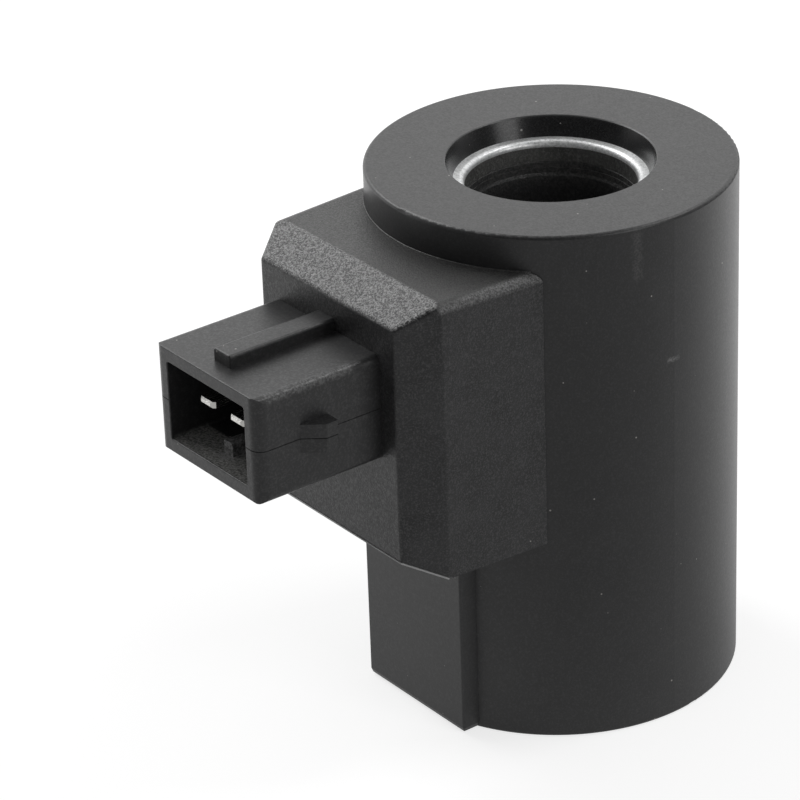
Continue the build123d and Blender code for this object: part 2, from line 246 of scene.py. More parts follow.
@dataclass
class Effects:
    """Effects that several finishes share, each a node group that is made once."""

    grain: bpy.types.NodeTree | None = None
    dust: bpy.types.NodeTree | None = None
    scuffs: bpy.types.NodeTree | None = None
    rings: bpy.types.NodeTree | None = None

    # Noise cycles in one grain, and how crisp the grain is.
    cycles_per_grain: float = 0.6
    grain_roughness: float = 0.7
    grain_span: Span = (0.32, 0.68)
    # A second, coarser grain: its scale and its weight beside the fine one.
    coarse_scale: float = 0.4
    coarse_weight: float = 0.2
    cloud_detail: float = 4.0
    cloud_roughness: float = 0.6
    # Smallest and largest speck beside the usual one, and how sharp a speck's edge is.
    speck_sizes: Span = (0.5, 1.6)
    speck_edge: float = 0.5
    # Where scuffs gather, and the drawn-out rub marks in them.
    gather_span: Span = (0.56, 0.72)
    rub_span: Span = (0.52, 0.70)
    rub_scale: float = 5200.0
    rub_stretch: Point = (1.0, 0.12, 1.0)
    rub_turn: Point = (0.5, 0.3, 0.8)
    # How fast a ring's streaks change round the bore, in metres for each radian.
    ring_drift: float = 0.8 * MM

    @staticmethod
    def group(name: str, numbers: dict[str, float], results: tuple[str, ...]) -> tuple[
            Graph, bpy.types.Node, bpy.types.Node]:
        """Makes an empty group.

        Args:
            name: The group's name.
            numbers: Its inputs with their usual values.
            results: Its outputs.

        Returns:
            Its graph, its input node and its output node.
        """
        tree = bpy.data.node_groups.new(name, "ShaderNodeTree")
        for label, value in numbers.items():
            socket = tree.interface.new_socket(name=label, in_out="INPUT",
                                               socket_type="NodeSocketFloat")
            socket.default_value = value
        for label in results:
            tree.interface.new_socket(name=label, in_out="OUTPUT", socket_type="NodeSocketFloat")
        graph = Graph(tree)
        return graph, graph.add("NodeGroupInput"), graph.add("NodeGroupOutput")

    def make(self) -> "Effects":
        """Builds every group.

        Returns:
            This library.
        """
        self.grain = self.make_grain()
        self.dust = self.make_dust()
        self.scuffs = self.make_scuffs()
        self.rings = self.make_rings()
        return self

    def make_grain(self) -> bpy.types.NodeTree:
        """Mould grain: fine bumps, and a slow cloudiness in the plastic.

        Returns:
            The group.
        """
        graph, given, result = self.group(
            "Mould grain", {"Size": 0.3 * MM, "Cloud Size": 4 * MM}, ("Height", "Cloud"))
        place = graph.place()
        per_grain = graph.maths("DIVIDE", self.cycles_per_grain, given.outputs["Size"])
        fine = graph.noise(place, per_grain, 2.0, self.grain_roughness)
        crisp = graph.spread(fine, *self.grain_span)
        coarse = graph.noise(place, graph.maths("MULTIPLY", per_grain, self.coarse_scale), 1.0)
        height = graph.maths("MULTIPLY_ADD", graph.spread(coarse, *NOISE_SPAN), self.coarse_weight,
                             graph.maths("MULTIPLY", crisp, 1.0 - self.coarse_weight))
        per_cloud = graph.maths("DIVIDE", 1.0, given.outputs["Cloud Size"])
        cloud = graph.noise(place, per_cloud, self.cloud_detail, self.cloud_roughness)
        graph.join(height, result.inputs["Height"])
        graph.join(graph.spread(cloud, *NOISE_SPAN), result.inputs["Cloud"])
        return graph.tree

    def make_dust(self) -> bpy.types.NodeTree:
        """Dust: scattered pale specks of uneven size.

        Returns:
            The group.
        """
        graph, given, result = self.group(
            "Dust", {"Spacing": 3 * MM, "Size": 0.08 * MM, "Share": 0.5}, ("Mask",))
        per_speck = graph.maths("DIVIDE", 1.0, given.outputs["Spacing"])
        cells = graph.add("ShaderNodeTexVoronoi")
        graph.join(graph.place(), cells.inputs["Vector"])
        graph.join(per_speck, cells.inputs["Scale"])
        picked = graph.add("ShaderNodeSeparateColor")
        graph.join(cells.outputs["Color"], picked.inputs["Color"])
        usual = graph.maths("MULTIPLY", given.outputs["Size"], per_speck)
        reach = graph.maths("MULTIPLY", usual,
                            graph.between(picked.outputs["Green"], *self.speck_sizes))
        inside = graph.maths("SUBTRACT", 1.0,
                             graph.maths("DIVIDE", cells.outputs["Distance"], reach), clamp=True)
        kept = graph.maths("LESS_THAN", picked.outputs["Red"], given.outputs["Share"])
        specks = graph.maths("MULTIPLY", graph.maths("POWER", inside, self.speck_edge), kept)
        graph.join(specks, result.inputs["Mask"])
        return graph.tree

    def make_scuffs(self) -> bpy.types.NodeTree:
        """Scuffs: short rubbed marks that gather in patches.

        Returns:
            The group.
        """
        graph, given, result = self.group(
            "Scuffs", {"Patch Size": 8 * MM, "Amount": 0.5}, ("Mask",))
        per_patch = graph.maths("DIVIDE", 1.0, given.outputs["Patch Size"])
        patch = graph.noise(graph.place(), per_patch)
        rub = graph.noise(graph.stretched(self.rub_stretch, self.rub_turn), self.rub_scale)
        marks = graph.maths("MULTIPLY", graph.spread(patch, *self.gather_span),
                            graph.spread(rub, *self.rub_span))
        graph.join(graph.maths("MULTIPLY", marks, given.outputs["Amount"]), result.inputs["Mask"])
        return graph.tree

    def make_rings(self) -> bpy.types.NodeTree:
        """Lines that run round the bore axis, as a lathe, a drawn tube or a winding has them.

        Returns:
            The group.
        """
        graph, given, result = self.group(
            "Rings round the bore", {"Pitch": 0.2 * MM, "Unevenness": 0.5}, ("Height", "Streak"))
        away, up, turn = graph.round_bore()
        flat = graph.add("ShaderNodeCombineXYZ")
        graph.join(graph.maths("ADD", away, up), flat.inputs["X"])
        graph.join(graph.maths("SUBTRACT", away, up), flat.inputs["Y"])
        graph.join(graph.maths("MULTIPLY", turn, self.ring_drift), flat.inputs["Z"])
        per_ring = graph.maths("DIVIDE", 1.0, given.outputs["Pitch"])
        streak = graph.noise(flat.outputs["Vector"], per_ring)
        turns = graph.maths("DIVIDE", math.tau, given.outputs["Pitch"])
        wave = graph.maths("SINE", graph.maths("MULTIPLY", graph.maths("ADD", away, up), turns))
        even = graph.spread(wave, -1.0, 1.0)
        height = graph.blend(given.outputs["Unevenness"], even, streak, "FLOAT")
        graph.join(height, result.inputs["Height"])
        graph.join(graph.spread(streak, *NOISE_SPAN), result.inputs["Streak"])
        return graph.tree


@dataclass
class Paint:
    """A new material with a Principled shader and short calls for the shared effects."""

    name: str

    def __post_init__(self) -> None:
        """Makes the material and finds its shader."""
        self.material = bpy.data.materials.new(self.name)
        self.material.use_nodes = True
        self.graph = Graph(self.material.node_tree)
        self.shader = next(n for n in self.graph.tree.nodes if n.type == "BSDF_PRINCIPLED")

    def constants(self, **values: object) -> None:
        """Sets constants on the shader's own sockets, named with underscores for spaces."""
        for label, value in values.items():
            self.shader.inputs[label.replace("_", " ")].default_value = value

    def effect(self, group: bpy.types.NodeTree, **values: float) -> bpy.types.Node:
        """Places a shared effect.

        Args:
            group: The effect's group.
            values: Its inputs, named with underscores for spaces.

        Returns:
            The group node.
        """
        node = self.graph.add("ShaderNodeGroup", node_tree=group)
        for label, value in values.items():
            node.inputs[label.replace("_", " ")].default_value = value
        return node

    def feed(self, value: Socket, label: str) -> None:
        """Links a value to one of the shader's inputs."""
        self.graph.join(value, self.shader.inputs[label])

    def bump(self, *layers: tuple[Socket, float]) -> None:
        """Feeds the shader's Normal from bump layers.

        Args:
            layers: Pairs of a height and its depth in metres.
        """
        before = None
        for height, depth in layers:
            node = self.graph.add("ShaderNodeBump")
            node.inputs["Distance"].default_value = depth
            self.graph.join(height, node.inputs["Height"])
            if before is not None:
                self.graph.join(before.outputs["Normal"], node.inputs["Normal"])
            before = node
        self.feed(before.outputs["Normal"], "Normal")


@dataclass(frozen=True)
class DustAndPaintedLightPatch:
    """A box of tint on the plastic, sizes in millimetres: settled dust, a smudge or a scratch in
    some places, painted light and painted highlights in others.
    """

    low: Point
    high: Point
    colour: Colour
    both_ends: bool = False
    both_sides: bool = False
    fade: float = 0.4

    def mask(self, graph: Graph) -> Socket:
        """Marks the box, with soft sides.

        Args:
            graph: The material's node tree.

        Returns:
            1 inside the box and 0 outside.
        """
        east, north, up = graph.axes()
        if self.both_ends:
            up = graph.maths("ABSOLUTE", up)
        if self.both_sides:
            east = graph.maths("ABSOLUTE", east)
        fade = self.fade * MM
        inside = None
        for place, low, high in zip((east, north, up), self.low, self.high):
            start, stop = low * MM, high * MM
            entered = graph.spread(place, start, start + fade)
            left = graph.spread(place, stop - fade, stop, 1.0, 0.0)
            between = graph.maths("MULTIPLY", entered, left)
            inside = between if inside is None else graph.maths("MULTIPLY", inside, between)
        return inside


@dataclass(frozen=True)
class MouldedPlastic:
    """Black glass-filled plastic as the mould leaves it: grain, cloudiness, scuffs, dust, and tinted
    patches that are dust or wear in places and painted light in others.
    """

    name: str
    colour: Colour
    roughness: float
    grain: Grain
    level: float = 0.6
    # How much lighter the clouds are, as a share, and how much paler the grain's tops are.
    cloud: float = 0.3
    peaks: float = 0.02
    scuffs: float = 0.12
    dust_share: float = 0.4
    dust_spacing: float = 3.2 * MM
    patches: tuple[DustAndPaintedLightPatch, ...] = ()
    cloud_size: float = 4.5 * MM
    cloud_depth: float = 0.004 * MM
    peak_span: Span = (0.45, 0.95)
    swing_span: Span = (0.1, 0.9)
    scuff_size: float = 9 * MM
    scuff_colour: Colour = (0.10, 0.10, 0.10)
    scuff_roughness: float = 0.2
    dust_size: float = 0.1 * MM
    dust_colour: Colour = (0.42, 0.41, 0.39)
    dust_roughness: float = 0.3
    # Heights between which the grain takes up a patch's tint, whether dust or painted light, and
    # what its pits hold.
    held_span: Span = (0.25, 0.85)
    held_in_pits: float = 0.15

    def smoothness(self, graph: Graph) -> object:
        """Roughness before grain, scuffs and dust."""
        return self.roughness

    def relief(self, graph: Graph, height: Socket) -> Socket:
        """Height of the grain, which some plastics flatten in places."""
        return height

    def tint(self, graph: Graph, body: Socket, height: Socket) -> Socket:
        """Colours the patches: settled dust and wear in some places, painted light and painted
        highlights in others.

        Args:
            graph: The material's node tree.
            body: Colour of the clean plastic.
            height: Height of the grain.

        Returns:
            Colour before scuffs and specks.
        """
        for patch in self.patches:
            held = graph.spread(height, *self.held_span, self.held_in_pits, 1.0)
            body = graph.blend(graph.maths("MULTIPLY", patch.mask(graph), held), body, patch.colour)
        return body

    def material(self, effects: Effects) -> bpy.types.Material:
        """Builds the material.

        Args:
            effects: The shared effects.

        Returns:
            The new material.
        """
        paint = Paint(self.name)
        graph = paint.graph
        paint.constants(Specular_IOR_Level=self.level)
        grain = paint.effect(effects.grain, Size=self.grain.size, Cloud_Size=self.cloud_size)
        scuffs = paint.effect(effects.scuffs, Patch_Size=self.scuff_size, Amount=self.scuffs)
        specks = paint.effect(effects.dust, Spacing=self.dust_spacing, Size=self.dust_size,
                              Share=self.dust_share)
        height, cloud = grain.outputs["Height"], grain.outputs["Cloud"]
        rubbed, dusty = scuffs.outputs["Mask"], specks.outputs["Mask"]
        lighter = tuple(c * (1.0 + self.cloud) for c in self.colour)
        pale = tuple(c + self.peaks for c in lighter)
        body = graph.blend(cloud, self.colour, lighter)
        body = graph.blend(graph.spread(height, *self.peak_span), body, pale)
        body = self.tint(graph, body, height)
        body = graph.blend(rubbed, body, self.scuff_colour)
        paint.feed(graph.blend(dusty, body, self.dust_colour), "Base Color")
        swing = graph.spread(height, *self.swing_span, self.grain.swing, -self.grain.swing)
        rough = graph.maths("MULTIPLY_ADD", rubbed, self.scuff_roughness,
                            graph.maths("ADD", self.smoothness(graph), swing))
        rough = graph.maths("MULTIPLY_ADD", dusty, self.dust_roughness, rough, clamp=True)
        paint.feed(rough, "Roughness")
        paint.bump((cloud, self.cloud_depth), (self.relief(graph, height), self.grain.depth))
        return paint.material


@dataclass(frozen=True)
class FrontBevel:
    """The bevel round the terminal block's front, from the shoulder to the front face."""

    depth: float = 4.7 * MM
    drop: float = 2.8 * MM
    rise: float = 2.5 * MM
    front_half_width: float = 12.9 * MM
    shoulder_half_width: float = 15.9 * MM

    def shoulder(self) -> float:
        """Where the bevel starts, along Y."""
        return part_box("terminal_block")[0].y + self.depth


@dataclass(frozen=True)
class BlockPlastic(MouldedPlastic):
    """Plastic of the terminal block: fine grain all over, raised on the upper bevel, where pale
    grain tops are a painted highlight.
    """

    bevel: FrontBevel = FrontBevel()
    bevel_roughness: float = 0.38
    # Depths under the bevel's plane where its finish starts and where it is complete.
    bevel_from: float = 0.25 * MM
    bevel_full: float = 0.25 * MM / 3
    flat_share: float = 0.5
    # Pale grain tops on the bevel are a painted highlight.
    bevel_highlight_colour: Colour = (0.26, 0.26, 0.26)
    bevel_highlight_span: Span = (0.3, 0.75)

    def on_bevel(self, graph: Graph) -> Socket:
        """Marks the upper bevel, which falls from the block's top to its front face.

        Args:
            graph: The material's node tree.

        Returns:
            1 on the bevel and 0 elsewhere.
        """
        slope = self.bevel.drop / self.bevel.depth
        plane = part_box("terminal_block")[1].z - slope * self.bevel.shoulder()
        _, north, up = graph.axes()
        reach = graph.maths("MULTIPLY_ADD", north, -slope, up)
        return graph.spread(reach, plane - self.bevel_from, plane - self.bevel_full)

    def smoothness(self, graph: Graph) -> Socket:
        """Roughness before grain, scuffs and dust."""
        return graph.between(self.on_bevel(graph), self.roughness, self.bevel_roughness)

    def relief(self, graph: Graph, height: Socket) -> Socket:
        """Height of the grain, which is flatter away from the bevel."""
        return graph.maths("MULTIPLY", height,
                           graph.between(self.on_bevel(graph), self.flat_share, 1.0))

    def tint(self, graph: Graph, body: Socket, height: Socket) -> Socket:
        """Adds pale grain tops on the bevel, a painted highlight.

        Args:
            graph: The material's node tree.
            body: Colour of the clean plastic.
            height: Height of the grain.

        Returns:
            Colour before scuffs and specks.
        """
        pale = graph.maths("MULTIPLY", self.on_bevel(graph), graph.spread(height, *self.bevel_highlight_span))
        return graph.blend(pale, super().tint(graph, body, height), self.bevel_highlight_colour)


@dataclass(frozen=True)
class JacketPlastic(MouldedPlastic):
    """Plastic of the jacket: satin round the side, matte end faces, polished recesses."""

    face_roughness: float = 0.42
    recess_roughness: float = 0.24
    recess_relief: float = 0.4
    recess_radius: float = 12.75 * MM
    fade: float = 0.15 * MM

    def outside_recess(self, graph: Graph, inner: float = 0.0) -> Socket:
        """Tells the recesses and the bore from the rest.

        Args:
            graph: The material's node tree.
            inner: The value inside them.

        Returns:
            The inner value in the recesses and 1 outside them.
        """
        away, _, _ = graph.round_bore()
        return graph.spread(away, self.recess_radius - self.fade, self.recess_radius, inner)

    def smoothness(self, graph: Graph) -> Socket:
        """Works out the roughness of each zone.

        Args:
            graph: The material's node tree.

        Returns:
            Roughness before grain, scuffs and dust.
        """
        _, _, up = graph.axes()
        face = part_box("moulded_jacket")[1].z
        near_face = graph.spread(graph.maths("ABSOLUTE", up), face - self.fade, face)
        worn = graph.maths("MULTIPLY_ADD", near_face, self.face_roughness - self.roughness,
                           self.roughness)
        beyond = graph.maths("SUBTRACT", worn, self.recess_roughness)
        return graph.maths("MULTIPLY_ADD", self.outside_recess(graph), beyond,
                           self.recess_roughness)

    def relief(self, graph: Graph, height: Socket) -> Socket:
        """Height of the grain, which is flatter in the recesses."""
        return graph.maths("MULTIPLY", height, self.outside_recess(graph, self.recess_relief))


@dataclass(frozen=True)
class TurnedMetal:
    """Metal turned, drawn or plated, with lines round the bore and a fine crystal grain."""

    name: str
    colour: Colour
    stain: Colour
    roughness: float
    pitch: float = 0.12 * MM
    depth: float = 0.002 * MM
    unevenness: float = 0.85
    speckle: float = 0.25
    metallic: float = 1.0
    crystal_size: float = 0.22 * MM
    crystal_depth: float = 0.006 * MM
    crystal_span: Span = (0.35, 0.75)
    cloud_size: float = 1.6 * MM
    cloud_swing: float = 0.06
    streak_swing: Span = (-0.07, 0.09)

    def material(self, effects: Effects) -> bpy.types.Material:
        """Builds the material.

        Args:
            effects: The shared effects.

        Returns:
            The new material.
        """
        paint = Paint(self.name)
        graph = paint.graph
        paint.constants(Metallic=self.metallic)
        lines = paint.effect(effects.rings, Pitch=self.pitch, Unevenness=self.unevenness)
        grain = paint.effect(effects.grain, Size=self.crystal_size, Cloud_Size=self.cloud_size)
        crystals = graph.spread(grain.outputs["Height"], *self.crystal_span)
        mottled = graph.maths("MULTIPLY", crystals, self.speckle)
        paint.feed(graph.blend(mottled, self.colour, self.stain), "Base Color")
        swing = graph.between(lines.outputs["Streak"],
                              *(self.roughness + change for change in self.streak_swing))
        cloudy = graph.between(grain.outputs["Cloud"], -self.cloud_swing, self.cloud_swing)
        paint.feed(graph.maths("ADD", swing, cloudy), "Roughness")
        paint.bump((lines.outputs["Height"], self.depth),
                   (grain.outputs["Height"], self.crystal_depth))
        return paint.material


@dataclass(frozen=True)
class TinnedBrass:
    """Tin plate on stamped brass: bright, faintly wavy, with draw marks along the blade."""

    name: str
    colour: Colour
    roughness: float
    roughness_swing: Span = (-0.08, 0.12)
    dulled: float = 0.82
    draw_scale: float = 6000.0
    draw_stretch: Point = (1.0, 0.06, 1.0)
    draw_detail: float = 3.0
    draw_depth: float = 0.003 * MM
    grain_size: float = 0.3 * MM
    wave_size: float = 1.5 * MM
    wave_depth: float = 0.03 * MM

    def material(self, effects: Effects) -> bpy.types.Material:
        """Builds the material.

        Args:
            effects: The shared effects.

        Returns:
            The new material.
        """
        paint = Paint(self.name)
        graph = paint.graph
        paint.constants(Metallic=1.0)
        drawn = graph.noise(graph.stretched(self.draw_stretch), self.draw_scale, self.draw_detail)
        grain = paint.effect(effects.grain, Size=self.grain_size, Cloud_Size=self.wave_size)
        dull = tuple(c * self.dulled for c in self.colour)
        paint.feed(graph.blend(grain.outputs["Cloud"], self.colour, dull), "Base Color")
        rough = graph.spread(drawn, *NOISE_SPAN,
                             *(self.roughness + change for change in self.roughness_swing))
        paint.feed(rough, "Roughness")
        paint.bump((grain.outputs["Cloud"], self.wave_depth), (drawn, self.draw_depth))
        return paint.material


@dataclass(frozen=True)
class WoundWire:
    """Enamelled copper in close turns, seen as rounded ridges round the bore, with painted shade in
    the valleys between them.
    """

    name: str
    colour: Colour
    pitch: float
    unevenness: float = 0.12
    ridge_share: float = 0.4
    valley_share: float = 0.6
    valley_shade: float = 0.45
    roughness_span: Span = (0.22, 0.38)
    coat: float = 0.6
    coat_roughness: float = 0.15
    grain_size: float = 0.15 * MM
    cloud_size: float = 3 * MM

    def material(self, effects: Effects) -> bpy.types.Material:
        """Builds the material.

        Args:
            effects: The shared effects.

        Returns:
            The new material.
        """
        paint = Paint(self.name)
        graph = paint.graph
        paint.constants(Metallic=1.0, Coat_Weight=self.coat, Coat_Roughness=self.coat_roughness)
        lines = paint.effect(effects.rings, Pitch=self.pitch, Unevenness=self.unevenness)
        grain = paint.effect(effects.grain, Size=self.grain_size, Cloud_Size=self.cloud_size)
        # Darker valleys between the turns are painted shade.
        shaded_valleys = tuple(c * self.valley_shade for c in self.colour)
        ridges = graph.spread(lines.outputs["Height"], 0.0, self.valley_share)
        paint.feed(graph.blend(ridges, shaded_valleys, self.colour), "Base Color")
        paint.feed(graph.between(grain.outputs["Cloud"], *self.roughness_span), "Roughness")
        paint.bump((lines.outputs["Height"], self.pitch * self.ridge_share))
        return paint.material


@dataclass(frozen=True)
class WrappedFilm:
    """Polyester tape or woven sleeving: overlapping bands with a thread pattern."""

    name: str
    colour: Colour
    band: float
    thread: float
    roughness: float
    roughness_swing: float = 0.08
    band_unevenness: float = 0.1
    band_depth: float = 0.05 * MM
    thread_unevenness: float = 0.3
    thread_share: float = 0.25
    lap_share: float = 0.12
    lap_shade: float = 0.72
    grain_size: float = 0.2 * MM
    cloud_size: float = 5 * MM

    def material(self, effects: Effects) -> bpy.types.Material:
        """Builds the material.

        Args:
            effects: The shared effects.

        Returns:
            The new material.
        """
        paint = Paint(self.name)
        graph = paint.graph
        bands = paint.effect(effects.rings, Pitch=self.band, Unevenness=self.band_unevenness)
        threads = paint.effect(effects.rings, Pitch=self.thread, Unevenness=self.thread_unevenness)
        grain = paint.effect(effects.grain, Size=self.grain_size, Cloud_Size=self.cloud_size)
        shade = tuple(c * self.lap_shade for c in self.colour)
        edge = graph.spread(bands.outputs["Height"], 0.0, self.lap_share)
        paint.feed(graph.blend(edge, shade, self.colour), "Base Color")
        rough = graph.between(grain.outputs["Cloud"], self.roughness - self.roughness_swing,
                              self.roughness + self.roughness_swing)
        paint.feed(rough, "Roughness")
        paint.bump((bands.outputs["Height"], self.band_depth),
                   (threads.outputs["Height"], self.thread * self.thread_share))
        return paint.material


def link_mesh(name: str, mesh: bmesh.types.BMesh) -> bpy.types.Object:
    """Puts mesh code into the scene as an object.

    Args:
        name: The object's name.
        mesh: The mesh, in the coil's own frame. It is freed.

    Returns:
        The new object.
    """
    data = bpy.data.meshes.new(name)
    mesh.to_mesh(data)
    mesh.free()
    made = bpy.data.objects.new(name, data)
    bpy.context.scene.collection.objects.link(made)
    return made


def bead(name: str, line: list[Vector], radius: float, sides: int = 10,
         smooth_below: float = 35.0) -> bpy.types.Object:
    """Makes a closed round bead along a line of points.

    Args:
        name: The piece's name.
        line: Points in the coil's own frame, in metres.
        radius: The bead's radius.
        sides: Faces round the bead.
        smooth_below: Edges flatter than this angle in degrees are shaded smooth.

    Returns:
        The new object, riding on the body.
    """
    mesh = bmesh.new()
    loops = []
    for place, point in enumerate(line):
        ahead = line[min(place + 1, len(line) - 1)] - line[max(place - 1, 0)]
        turn = ahead.normalized().to_track_quat("Z", "Y").to_matrix()
        loops.append([
            mesh.verts.new(point + turn @ Vector((math.cos(a), math.sin(a), 0)) * radius)
            for a in (math.tau * side / sides for side in range(sides))
        ])
    for near, far in zip(loops, loops[1:]):
        for side in range(sides):
            after = (side + 1) % sides
            mesh.faces.new((near[side], near[after], far[after], far[side]))
    mesh.faces.new(list(reversed(loops[0])))
    mesh.faces.new(loops[-1])
    bmesh.ops.recalc_face_normals(mesh, faces=mesh.faces)
    for face in mesh.faces:
        face.smooth = True
    for edge in mesh.edges:
        edge.smooth = edge.calc_face_angle(0.0) < math.radians(smooth_below)
    piece = link_mesh(name, mesh)
    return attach(piece, BODY)


def dress(node: str, material: bpy.types.Material) -> None:
    """Gives a CAD node a finish.

    Args:
        node: The node's name.
        material: The finish.
    """
    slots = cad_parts[node].data.materials
    slots.clear()
    slots.append(material)
    log.info("dressed %s in %s", node, material.name)


@dataclass
class Jacket:
    """The moulded jacket round the coil."""

    finish: JacketPlastic = JacketPlastic(
        "Black satin plastic", (0.012, 0.012, 0.0125), 0.40, Grain.SATIN, peaks=0.01,
        dust_share=0.6, dust_spacing=2.4 * MM, patches=(
            # A pale smudge near the top of the side.
            DustAndPaintedLightPatch((21.0, -6.1, 26.6), (23.0, -4.2, 33.6), (0.055, 0.055, 0.055), fade=0.8),
            # A short scratch below it.
            DustAndPaintedLightPatch((21.5, -1.2, 14.9), (23.0, 0.9, 15.8), (0.16, 0.16, 0.16)),
            # Both end faces.
            DustAndPaintedLightPatch((-23.0, -23.0, 33.3), (23.0, 23.0, 34.2), (0.038, 0.038, 0.038),
                      both_ends=True, fade=0.3),
        ))

    def dress(self, effects: Effects) -> None:
        """Dresses the jacket."""
        dress("moulded_jacket", self.finish.material(effects))


@dataclass
class TerminalBlock:
    """The bevelled block that grows out of the jacket, with a fine bead at its top and a pale bead
    at its foot that is a painted highlight.
    """

    finish: BlockPlastic = BlockPlastic(
        "Spark-eroded black plastic", (0.011, 0.011, 0.0115), 0.42, Grain.SPARK, level=0.52,
        cloud=1.2, peaks=0.03, scuffs=0.0, dust_share=0.3, patches=(
            # The top face: pale dust, and a lighter base there that is painted light.
            DustAndPaintedLightPatch((-18.0, -30.0, 28.6), (18.0, 0.0, 30.5), (0.05, 0.05, 0.048)),
            # The rounded edges along both sides of the top: a pale band there is a painted
            # highlight.
            DustAndPaintedLightPatch((15.3, -29.6, 27.9), (18.0, -13.5, 29.6), (0.16, 0.16, 0.16),
                      both_sides=True, fade=0.5),
        ))
    # A pale finish for the foot bead, which is a painted highlight.
    foot_highlight: MouldedPlastic = MouldedPlastic(
        "Painted edge highlight", (0.28, 0.28, 0.28), 0.5, Grain.SATIN, scuffs=0.0, dust_share=0.0)
    # The top bead follows the jacket. It stands off by a share of its radius, and stops short
    # of the block's sides.
    top_radius: float = 0.11 * MM
    top_stand_off: float = 0.5
    top_short: float = 1.0 * MM
    top_steps: int = 64
    # The foot bead follows the lower front edge. It is sunk by a share of its radius, and its pale
    # finish is a painted highlight along that edge.
    foot_radius: float = 0.10 * MM
    foot_sunk: float = 0.3

    def build(self, effects: Effects) -> None:
        """Dresses the block and builds its two beads.

        Args:
            effects: The shared effects.
        """
        low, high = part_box("terminal_block")
        material = self.finish.material(effects)
        dress("terminal_block", material)
        self.add_bead("block_top_seam", self.top_line(high), self.top_radius, material)
        self.add_bead("block_foot_highlight", self.foot_line(low), self.foot_radius,
                      self.foot_highlight.material(effects))

    def add_bead(self, name: str, line: list[Vector], radius: float,
                 material: bpy.types.Material) -> None:
        """Builds and dresses one bead.

        Args:
            name: The piece's name.
            line: The points it follows, in metres.
            radius: Its radius.
            material: Its finish.
        """
        piece = bead(name, line, radius)
        piece.data.materials.append(material)
        log.info("built %s", piece.name)

    def top_line(self, high: Vector) -> list[Vector]:
        """Follows the jacket along the block's top.

        Args:
            high: The block's highest corner.

        Returns:
            The bead's points.
        """
        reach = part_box("moulded_jacket")[1].x + self.top_radius * self.top_stand_off
        half_turn = math.asin((high.x - self.top_short) / reach)
        line = []
        for step in range(self.top_steps + 1):
            turn = half_turn * (2 * step / self.top_steps - 1)
            line.append(Vector((reach * math.sin(turn), -reach * math.cos(turn), high.z)))
        return line

    def foot_line(self, low: Vector) -> list[Vector]:
        """Follows the block's lower front edge from shoulder to shoulder.

        Args:
            low: The block's lowest corner.

        Returns:
            The bead's points.
        """
        bevel = self.finish.bevel
        inset = self.foot_radius * self.foot_sunk
        across, side = bevel.front_half_width, bevel.shoulder_half_width - inset
        front, back, up = low.y + inset, bevel.shoulder(), low.z + inset
        return [
            Vector((-side, back, up)),
            Vector((-across, front, up + bevel.rise)),
            Vector((across, front, up + bevel.rise)),
            Vector((side, back, up)),
        ]


@dataclass
class ConnectorHeader:
    """The plug header with its socket, ridge and lugs, and the two blades in it."""

    finish: MouldedPlastic = MouldedPlastic(
        "Black header plastic", (0.012, 0.012, 0.0125), 0.40, Grain.MATTE, scuffs=0.06,
        dust_share=0.5, dust_spacing=1.8 * MM, patches=(
            # The socket's lower wall, near its mouth: painted light where light comes in at the
            # mouth.
            DustAndPaintedLightPatch((-7.7, -51.4, 9.9), (7.7, -46.0, 11.0), (0.26, 0.26, 0.25)),
            # The key rib in the socket: painted light, as it is lit through the mouth.
            DustAndPaintedLightPatch((-1.3, -50.0, 10.0), (1.3, -46.0, 12.8), (0.20, 0.20, 0.20)),
            # Both long upper edges: a pale band there is a painted highlight.
            DustAndPaintedLightPatch((9.0, -50.2, 21.2), (10.8, -37.5, 22.9), (0.11, 0.11, 0.11),
                      both_sides=True, fade=0.5),
        ))
    blade: TinnedBrass = TinnedBrass("Tinned brass", (0.82, 0.81, 0.78), 0.24)

    def dress(self, effects: Effects) -> None:
        """Dresses the header and its two blades.

        Args:
            effects: The shared effects.
        """
        dress("connector_header", self.finish.material(effects))
        blade = self.blade.material(effects)
        for side in ("left", "right"):
            dress(f"{side}_terminal_tab", blade)


@dataclass
class MagneticCircuit:
    """Pole rings, yoke tube and the collars under the rings."""

    plate: TurnedMetal = TurnedMetal("Zinc plate", (0.90, 0.91, 0.91), (0.50, 0.51, 0.51), 0.38,
                                     speckle=0.6, metallic=0.6)
    tube: TurnedMetal = TurnedMetal("Drawn steel tube", (0.36, 0.35, 0.34), (0.20, 0.18, 0.17),
                                    0.38, 0.3 * MM)
    resin: MouldedPlastic = MouldedPlastic("Granular resin", (0.038, 0.038, 0.036), 0.60,
                                           Grain.GRANULAR, cloud=0.8, peaks=0.04,
                                           dust_spacing=1.6 * MM)

    def dress(self, effects: Effects) -> None:
        """Dresses the rings, the tube and the collars.

        Args:
            effects: The shared effects.
        """
        plate = self.plate.material(effects)
        resin = self.resin.material(effects)
        for end in End:
            dress(f"{end.value}_pole_ring", plate)
            dress(f"{end.value}_insulating_collar", resin)
        dress("yoke_tube", self.tube.material(effects))


